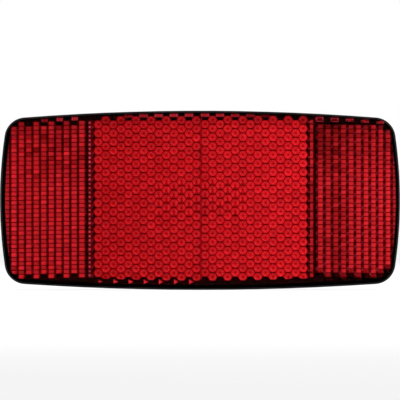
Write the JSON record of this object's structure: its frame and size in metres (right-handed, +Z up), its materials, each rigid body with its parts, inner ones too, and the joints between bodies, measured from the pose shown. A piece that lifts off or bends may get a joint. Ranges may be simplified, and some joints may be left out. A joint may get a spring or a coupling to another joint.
{
  "type": "bicycle rear reflector",
  "caption": "Red rear reflector for a bicycle carrier: a prismatic lens in a shallow black housing with studs, washers and nuts behind.",
  "frame": {"origin": "midway between the two studs, in the plane of the boss faces that seat on the carrier plate", "axes": "+X across the reflector, to the right when its lens is looked at; +Z up; +Y along the studs, away from the lens"},
  "size_m": [0.1, 0.0235, 0.0448],
  "materials": {
    "lens_red": "clear red acrylic, polished, with moulded prisms behind",
    "housing_black": "fine spark texture behind, smooth lip",
    "zinc_steel": "bright zinc plate",
    "spring_steel": "duller zinc plate"
  },
  "bodies": {
    "root": {"lens": "lens_red", "housing": "housing_black", "stud_left": "zinc_steel", "stud_right": "zinc_steel", "washer_left": "zinc_steel", "washer_right": "zinc_steel", "lock_washer_left": "spring_steel", "lock_washer_right": "spring_steel", "nut_left": "zinc_steel", "nut_right": "zinc_steel"}
  },
  "joints": []
}
